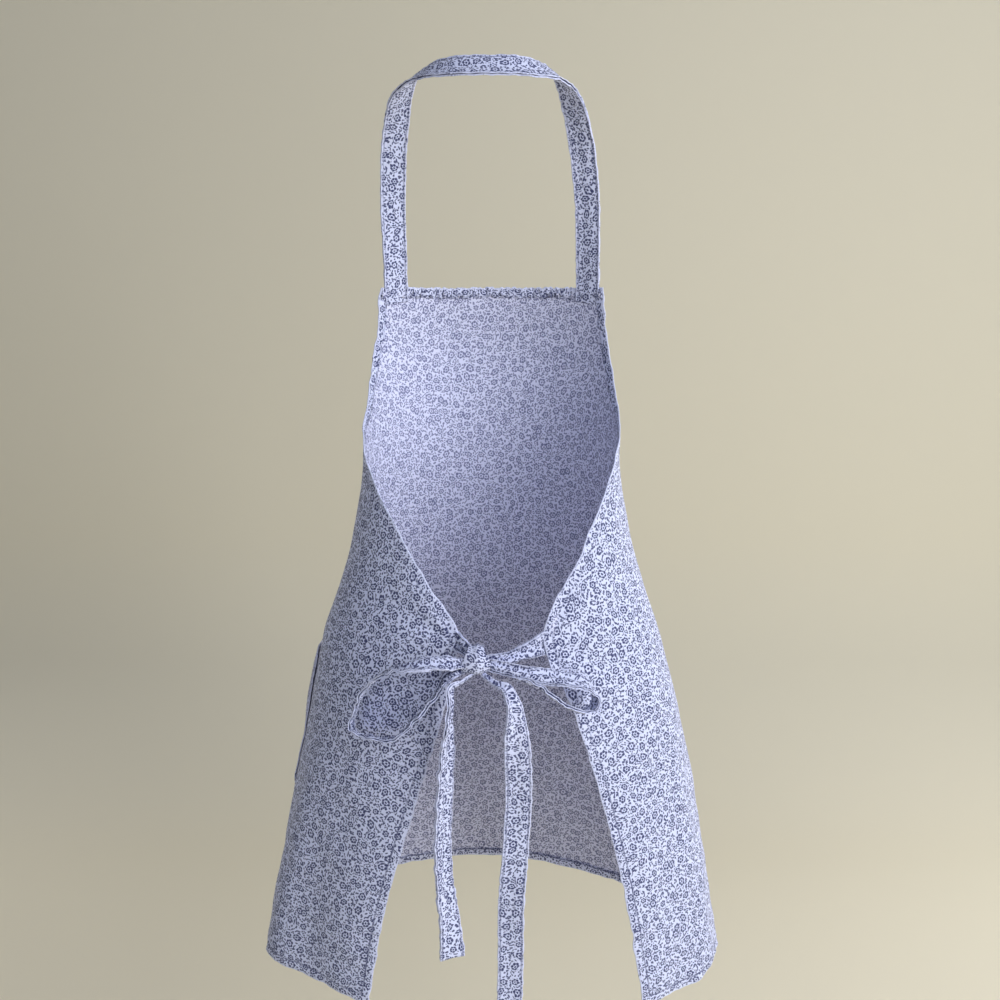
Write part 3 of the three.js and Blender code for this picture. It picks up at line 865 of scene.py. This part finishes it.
def through_points(points, share):
    points = np.asarray(points, float)
    padded = np.array([2 * points[0] - points[1], *points, 2 * points[-1] - points[-2]])
    spot = np.clip(share, 0, 1) * (len(points) - 1)
    i = np.minimum(spot.astype(int), len(points) - 2)
    t = (spot - i)[:, None]
    p0, p1, p2, p3 = (padded[i + k] for k in range(4))
    d0, d1, d2 = (
        np.maximum(np.linalg.norm(b - a, axis=1), LEAST_STEP)[:, None] ** 0.5
        for a, b in ((p0, p1), (p1, p2), (p2, p3))
    )
    m1 = ((p1 - p0) / d0 - (p2 - p0) / (d0 + d1) + (p2 - p1) / d1) * d1
    m2 = ((p2 - p1) / d1 - (p3 - p1) / (d1 + d2) + (p3 - p2) / d2) * d1
    start = (2 * t**3 - 3 * t**2 + 1) * p1 + (t**3 - 2 * t**2 + t) * m1
    return start + (3 * t**2 - 2 * t**3) * p2 + (t**3 - t**2) * m2


def unit(vectors):
    return vectors / np.linalg.norm(vectors, axis=1)[:, None]


def lay_route(stations, step):
    stations = np.asarray(stations, float)
    share = np.linspace(0, 1, ROUTE_PARTS * (len(stations) - 1) + 1)
    dense = through_points(stations[:, :3], share)
    run = np.concatenate([[0], np.cumsum(np.linalg.norm(np.diff(dense, axis=0), axis=1))])
    even = np.linspace(0, run[-1], int(run[-1] / step) + 1)
    share = np.interp(even, run, share)
    centre = through_points(stations[:, :3], share)
    tangent = unit(np.gradient(centre, axis=0))
    across = through_points(stations[:, 3:6], share)
    across = unit(across - tangent * np.sum(across * tangent, axis=1)[:, None])
    width = np.interp(share * (len(stations) - 1), np.arange(len(stations)), stations[:, 6])
    return even, centre, across, np.cross(across, tangent), width


print("route helpers ready")

# %% [markdown]
# The strip's section is a closed ring of points: over the upper layer, in and out of the groove at one edge, back under
# the lower layer, and the groove at the other edge. A grid is rolled into that ring along the route, its long edges are
# merged, and the two ends are filled. Where the strip narrows towards the knot its cloth can't vanish, so it is thrown
# into pleats instead, and one tail is folded along its middle there.

# %% Strip builder
STRIP_FLAT = 25.0
STRIP_STEP = 2.0
PLY = 0.75
LIP_ROOM = 14
LIP_LENGTH = 5.5
LIP_SHARE = 0.7
LIP_MOST = 0.8
RUFFLE_LENGTH = 7.0
WANDER_LENGTH = 6.5
WANDER_SHARE = 0.85
WAVER_SEED = 0.37
DRAWN_IN = 14
PLEAT_WAVES = 5.2
PLEAT_LEAST = 0.25
PLEAT_ROOM = 9
CREASE_SPREAD = 0.12
CROWN_FROM = 9
CROWN_SPAN = 16
PRINT_SHIFT = 0.07
PRINT_SLANT = 0.6
WELD = 0.00001
LAYER = [(-1, 1.5), (-0.93, 1.3), (-0.82, 0.9), (-0.6, PLY), (-0.3, PLY), (0, PLY)]
LAYER = LAYER + [(-side, height) for side, height in LAYER[-2::-1]]
# The last number of a lip is its hem value: near zero it marks the fold that the cotton paints pale as a highlight, and
# below zero the groove it paints dark as shade.
LIPS = [(-0.25, 1.1, 0.0), (0.2, 0.65, -0.2), (2.2, 0.25, -1.5)]
LIPS = LIPS + [(inset, -height, hem) for inset, height, hem in LIPS[::-1]]
upper = [(side, 0.0, height, (1 - abs(side)) * STRIP_FLAT / 2) for side, height in LAYER]
right_edge = [(1, inset, height, hem) for inset, height, hem in LIPS]
lower = [(-side, 0.0, -height, hem) for side, _, height, hem in upper]
left_edge = [(-1, inset, -height, hem) for inset, height, hem in LIPS]
SECTION_RING = np.array(upper + right_edge + lower + left_edge + upper[:1])
ring_steps = np.diff(SECTION_RING[:, [0, 2]] * (STRIP_FLAT / 2, 1), axis=0)
AROUND = np.concatenate([[0], np.cumsum(np.hypot(*ring_steps.T))])
AROUND = AROUND - AROUND[-1] / 2


def waver(run, length, seed):
    return np.array([noise.noise((r / length, seed, WAVER_SEED)) for r in run])


def waver_pair(which, run, length, seed, other_seed):
    return np.where(which > 0, waver(run, length, seed)[:, None], waver(run, length, other_seed)[:, None])


def strip_points(stations, seed, ruffle, pleat, crease, flare, crown):
    run, centre, across, face, width = lay_route(stations, STRIP_STEP)
    wide = width[:, None]
    side, inset, height, _ = SECTION_RING.T
    edge = np.abs(side)
    narrow = np.minimum(1, wide / LIP_ROOM)
    tight = np.clip((STRIP_FLAT - wide) / DRAWN_IN, 0, 1)
    pleats = pleat * (PLEAT_LEAST + tight) * np.cos(PLEAT_WAVES * side + seed) * np.minimum(1, wide / PLEAT_ROOM)
    pleats = pleats + crease * tight * np.exp(-((side / CREASE_SPREAD) ** 2))
    ply = PLY * np.sign(height)
    height = np.where(np.abs(height) > PLY, ply + flare * (height - ply), height)
    swing = waver_pair(side, run, RUFFLE_LENGTH, seed, seed + 5)
    lips = waver_pair(height, run, LIP_LENGTH, seed + 9, seed + 13)
    wander = waver_pair(side, run, WANDER_LENGTH, seed + 17, seed + 21)
    spread = np.clip((wide - CROWN_FROM) / CROWN_SPAN, 0, 1)
    lift = height * narrow + ruffle * swing * edge**3 + min(LIP_SHARE * ruffle, LIP_MOST) * lips * edge**6
    lift = lift + pleats + crown * edge**2 * spread
    half = wide / 2 * side - np.sign(side) * inset * narrow
    half = half + np.sign(side) * ruffle * WANDER_SHARE * wander * edge**4
    return run, width, (
        centre[:, None, :] + across[:, None, :] * half[:, :, None] + face[:, None, :] * lift[:, :, None]
    ) * MM


def build_strip(stations, seed, ruffle, pleat, crease=0.0, flare=1.0, crown=0.0, paint_edge_light=True):
    run, width, points = strip_points(stations, seed, ruffle, pleat, crease, flare, crown)
    rows, columns = points.shape[0] - 1, points.shape[1] - 1
    bm = bmesh.new()
    bmesh.ops.create_grid(bm, x_segments=columns, y_segments=rows, size=1)
    cut = bm.loops.layers.uv.new("cut")
    hem = bm.verts.layers.float.new("hem")
    spots = {}
    for v in bm.verts:
        i, j = round((v.co.x + 1) / 2 * columns), round((v.co.y + 1) / 2 * rows)
        spots[v] = (i, j)
        v.co = points[j, i]
    offset = PRINT_SHIFT * seed
    for v, (i, _) in spots.items():
        # The hem attribute places the painted highlight on the folded lips and the painted shade in their groove;
        # without them every point lies half a strip's width from an edge, so nothing is painted there.
        v[hem] = (SECTION_RING[i, 3] if paint_edge_light else STRIP_FLAT / 2) * MM
    for f in bm.faces:
        for loop in f.loops:
            i, j = spots[loop.vert]
            shift = AROUND[i] * width[j] / STRIP_FLAT
            loop[cut].uv = (offset + shift * MM, offset * PRINT_SLANT + run[j] * MM)
    bmesh.ops.remove_doubles(bm, verts=bm.verts, dist=WELD)
    bmesh.ops.holes_fill(bm, edges=[e for e in bm.edges if e.is_boundary], sides=0)
    bmesh.ops.recalc_face_normals(bm, faces=bm.faces)
    return bm, run[-1] * MM, points


print("section of a strip:", len(SECTION_RING) - 1, "points")

# %% [markdown]
# The routes follow the solids' stations: a place, the direction of the width and the width, in millimetres. They leave
# them where thin cloth lies otherwise than a thick wall. The loops and one tail are narrower, because they are folded
# along their length. The neck strap is sewn to the inside of the bib's corners, so its ends are moved up to the cloth.

# %% Routes
ROUTES = {
    "neck_strap": [
        (-99.3, 138.8, -204, 0.84, 0.54, 0, 25), (-99.5, 134.0, -188, 0.85, 0.53, 0, 25),
        (-99, 126, -160, 0.88, 0.47, 0.05, 25), (-98.5, 112, -100, 0.94, 0.3, 0.14, 25),
        (-93, 90, -45, 0.93, 0.16, 0.34, 25), (-81, 57, -9, 0.78, 0.36, 0.5, 25),
        (-62, 25, -0.5, 0.55, 0.58, 0.6, 25), (-36, 5, 0.5, 0.3, 0.62, 0.72, 25),
        (0, -0.66, 0.61, 0, 0.68, 0.73, 25), (32, 5, 0.5, -0.3, 0.62, 0.72, 25), (55, 25, 0, -0.55, 0.58, 0.6, 25),
        (71, 57, -8, -0.78, 0.36, 0.5, 25), (86, 90, -45, -0.93, 0.16, 0.34, 25),
        (95.5, 112, -100, -0.94, 0.3, 0.14, 25), (98.5, 126, -160, -0.88, 0.47, 0.05, 25),
        (99.5, 134.0, -188, -0.85, 0.53, 0, 25), (99.3, 138.8, -204, -0.84, 0.54, 0, 25),
    ],
    "tie_left": [
        (-49, -35.8, -513, 0, 0, 1, 25), (-33.5, -41, -511, 0, 0.1, 1, 18), (-26, -48.5, -513.5, -0.35, 0.3, 1, 13),
        (-20.5, -53, -518, -0.3, 0.3, 1, 9), (-13, -56, -522, 0.1, 0.3, 1, 8),
    ],
    "tie_right": [
        (67, -33.8, -514, 0, 0.1, 1, 25), (52.2, -38.5, -514.5, 0, 0.1, 1, 23), (33, -45, -520.5, 0, 0.1, 1, 14.5),
        (12, -52, -525, 0, 0.3, 1, 10.5), (-6, -56, -524.5, 0, 0.3, 1, 8),
    ],
    "bow_loop_left": [
        (-13, -61, -523.5, 0, 0.35, 0.94, 8), (-32, -65.5, -524, 0, 0.5, 0.87, 12),
        (-48, -68.5, -523, 0, 0.7, 0.7, 14.5), (-71, -69, -525.5, 0, 0.92, 0.36, 17),
        (-91, -62.5, -532, -0.05, 0.96, -0.15, 18), (-115, -49.5, -553, -0.12, 0.92, -0.35, 18),
        (-131, -42.3, -586, -0.14, 0.9, -0.4, 18), (-131.5, -42.3, -600, -0.14, 0.9, -0.41, 18),
        (-115, -50.3, -603, -0.13, 0.9, -0.42, 18), (-91, -59.8, -601, -0.1, 0.9, -0.42, 18),
        (-72, -63.5, -582, -0.08, 0.91, -0.4, 19), (-53, -64, -560, -0.06, 0.92, -0.36, 18),
        (-40, -63.5, -540, 0, 0.98, 0.1, 14), (-27, -61.5, -532, 0, 0.7, 0.7, 6),
        (-14, -59, -528.5, 0, 0.5, 0.85, 5),
    ],
    "bow_loop_right": [
        (-6, -60, -525, 0, 0.35, 0.94, 8), (12, -62, -529.5, 0, 0.5, 0.87, 9.5),
        (35, -63, -535, 0, 0.65, 0.76, 12.5), (54, -62, -539, 0, 0.9, 0.4, 15.5),
        (75, -60, -543, -0.1, 0.95, 0.25, 17), (91, -57, -550, -0.3, 0.93, 0.15, 18),
        (98, -55, -563, -0.42, 0.9, 0, 17), (91, -57, -574, -0.3, 0.93, -0.15, 18),
        (76, -61.5, -570, -0.1, 0.97, -0.25, 19), (61, -63, -561, 0, 0.96, -0.28, 18),
        (49, -63.5, -551, 0, 0.95, -0.3, 16), (33, -64, -541.5, 0, 0.95, -0.2, 10),
        (12, -61, -535.5, 0, 0.7, 0.7, 6), (-6, -58.5, -529.5, 0, 0.5, 0.85, 5),
    ],
    "tail_left": [
        (-13, -61, -534, 0.4, 0.9, -0.2, 4), (-25, -68, -540, 0.4, 0.9, 0, 6), (-36, -71, -546, 0.25, 0.96, 0, 11),
        (-36.5, -72, -562, 0.15, 0.99, 0, 16), (-37.5, -70.5, -578, 0.15, 0.99, 0, 18),
        (-39, -68.5, -594, 0.5, 0.87, 0, 19), (-40.2, -66.5, -612, 0.62, 0.78, 0, 19),
        (-43, -63, -655, 0.72, 0.69, 0, 19), (-46, -61, -714, 0.74, 0.67, 0, 19),
        (-44, -60, -752, 0.74, 0.67, 0, 20), (-40, -60, -793, 0.8, 0.6, 0, 23), (-38, -60, -830, 0.96, 0.28, 0, 25),
    ],
    "tail_right": [
        (-8, -61, -535, 0.6, 0.6, 0.5, 4), (4, -69, -542, 0.55, 0.75, 0.4, 8), (14, -73, -545, 0.6, 0.7, 0.35, 12),
        (20, -75, -557, 0.75, 0.62, 0.15, 16), (22.5, -74, -572, 0.85, 0.5, 0, 19),
        (23.5, -71.5, -590, 0.95, 0.3, 0, 23), (25, -67.5, -616, 0.99, 0.1, 0, 25), (26, -64, -652, 1, 0, 0, 25),
        (23.5, -61, -712, 1, 0.1, 0, 25), (19.5, -60, -773, 1, -0.1, 0, 25), (19, -60, -832, 1, 0, 0, 25),
        (18, -60, -893, 1, 0.1, 0, 25),
    ],
}
PLAIN_RUFFLE = 1.1
PLAIN_PLEAT = 1.6
RUFFLE = {"neck_strap": 0.8, "tie_left": 1.2, "bow_loop_left": 2.3, "bow_loop_right": 2.0, "tail_left": 1.7}
PLEAT = {"tie_left": 1.8, "tie_right": 2.2}
CREASE = {"tail_right": 4.0}
print({node: len(stations) for node, stations in ROUTES.items()})

# %% Strips
strips = {}
for seed, (node, stations) in enumerate(ROUTES.items(), start=1):
    ruffle, pleat = RUFFLE.get(node, PLAIN_RUFFLE), PLEAT.get(node, PLAIN_PLEAT)
    bm, length, points = build_strip(stations, seed, ruffle, pleat, CREASE.get(node, 0.0))
    strips[node] = (make_piece(node + "_cloth", bm, [strap_side], node), length, points)
print({node: round(length, 3) for node, (_, length, _) in strips.items()})

# %% [markdown]
# ## Knot
# The knot is the same band again, drawn tight over the others. It comes up behind the crossing, folds over its top as a
# small lump, spreads down the front and goes under. The strip builder makes it from stations of its own, with shallower
# pleats, flat edges and a curve across its width.

# %% Knot
KNOT_ROUTE = [
    (-12, -50, -521, 1, 0, 0, 12), (-12.5, -50.5, -515, 1, 0, 0, 12), (-13, -54, -510.5, 1, 0, 0.02, 12.5),
    (-13.5, -60, -510, 1, 0, 0.05, 13), (-13.5, -65.5, -514, 1, 0, 0.1, 17), (-13.5, -68.5, -520.5, 1, 0, 0.15, 24),
    (-13.5, -69, -527.5, 1, 0, 0.12, 27), (-13, -66, -533.5, 1, 0, 0.05, 25), (-12, -59, -536, 1, 0, 0, 20),
    (-12, -51.5, -532, 1, 0, 0, 14),
]
KNOT_SEED = 14.6
# The knot's edges get neither the painted highlight nor the painted groove shade.
bm, knot_length, _ = build_strip(
    KNOT_ROUTE, KNOT_SEED, ruffle=0.8, pleat=0.9, flare=0.1, crown=3.6, paint_edge_light=False,
)
knot = make_piece("knot_cloth", bm, [strap_side], "bow_knot")

# %% [markdown]
# ## Stitches
# Each hem is held by a row of small stitches. One stitch is a tiny ball, stretched along the seam and flattened on the
# cloth, with only a few faces, because there are thousands of them. A seam on the panel or the pocket is first drawn as
# a line of points near the cloth, and each point then drops to the nearest place on the surface.

# %% Sewing helpers
STITCH_PITCH = 0.0031
STITCH_SIZE = (0.0011, 0.00024, 0.00018)
PROUD = 0.0001
HEM_DEPTH = 0.0014


def sew(bm, points, ups):
    points = [Vector(p) for p in points]
    left = 0.0
    for a, b, up in zip(points[:-1], points[1:], ups):
        step = b - a
        along = step.normalized()
        aside = Vector(up).cross(along).normalized()
        lift = along.cross(aside)
        shape = Matrix((along * STITCH_SIZE[0], aside * STITCH_SIZE[1], lift * STITCH_SIZE[2])).transposed()
        while left < step.length:
            place = Matrix.Translation(a + along * left) @ shape.to_4x4()
            bmesh.ops.create_icosphere(bm, subdivisions=1, radius=1, matrix=place)
            left += STITCH_PITCH
        left -= step.length


def sew_on(bm, surface, line, height):
    found = [surface.find_nearest(point)[:2] for point in line]
    side = 1 if height > 0 else -1
    sew(bm, [place + normal * height for place, normal in found], [normal * side for _, normal in found])


print("a stitch every", STITCH_PITCH / MM, "mm")

# %% [markdown]
# The panel has one row all round its hem, seen on both faces, and four sewn boxes: two at the bib's corners, where the
# neck strap ends behind the cloth, and two at the back corners, where the ties do. A box is an angle, a level, and half
# its width in degrees and half its height in millimetres.

# %% Stitches on the panel
SEWN_BOXES = ((-41.7, -196, 4.4, 6), (41.7, -196, 4.4, 6), (-165, -513, 1.6, 10), (158, -513, 1.6, 10))
BOX_CORNERS = np.array([(-1, -1), (1, -1), (1, 1), (-1, 1), (-1, -1)])
BOX_POINTS = 33

bm = bmesh.new()
hem_line = [co + inward * HEM_SEAM for co, _, inward in panel_frames]
hem_line.append(hem_line[0])
sew_on(bm, panel_surface, hem_line, PROUD)
sew_on(bm, panel_surface, hem_line, -HEM_DEPTH)
corner = np.arange(len(BOX_CORNERS))
share = np.linspace(0, corner[-1], BOX_POINTS)
across, up = (np.interp(share, corner, BOX_CORNERS[:, k]) for k in (0, 1))
for at, height, half_degrees, half_height in SEWN_BOXES:
    box, _ = panel_points(at + half_degrees * across, height + half_height * up)
    sew_on(bm, panel_surface, [Vector(place) for place in box], PROUD)
panel_thread = make_piece("panel_stitches", bm, [thread_cotton])

# %% [markdown]
# The pocket is sewn down close to its sides and bottom. The row of its mouth's wide hem stops short of the corners.

# %% Stitches on the pocket
MOUTH_ENDS = 2

bm = bmesh.new()
count = len(pocket_frames)
at_mouth = [co.z > mouth for co, _, _ in pocket_frames]
start = next(k for k in range(count) if at_mouth[k - 1] and not at_mouth[k])
turned_frames = [pocket_frames[(start + k) % count] for k in range(count)]
sides = [co + inward * POCKET_SEAM for co, _, inward in turned_frames if co.z <= mouth]
top = [co + inward * MOUTH_SEAM for co, _, inward in turned_frames if co.z > mouth]
sew_on(bm, pocket_surface, sides, PROUD)
sew_on(bm, pocket_surface, top[MOUTH_ENDS:-MOUTH_ENDS], PROUD)
pocket_thread = make_piece("pocket_stitches", bm, [thread_cotton])

# %% [markdown]
# A strip is sewn along both edges, through all its layers, so the row shows on either face. The rows follow the columns
# of the strip's own section, and the normal is the cross product of the two directions along the surface.

# %% Stitches on the strips
SEAM_COLUMNS = (2, 8, 19, 25)

for node, (_, _, points) in strips.items():
    bm = bmesh.new()
    middle = points[:, :-1].mean(axis=1)
    for column in SEAM_COLUMNS:
        row = points[:, column]
        normal = unit(np.cross(np.gradient(row, axis=0), points[:, column + 1] - points[:, column - 1]))
        if np.sum(normal * (row - middle)) < 0:
            normal = -normal
        sew(bm, row + normal * PROUD, normal)
    make_piece(node + "_stitches", bm, [thread_cotton])

# %% Count of cloth pieces
print("sheets declared:", 3 + len(strips))
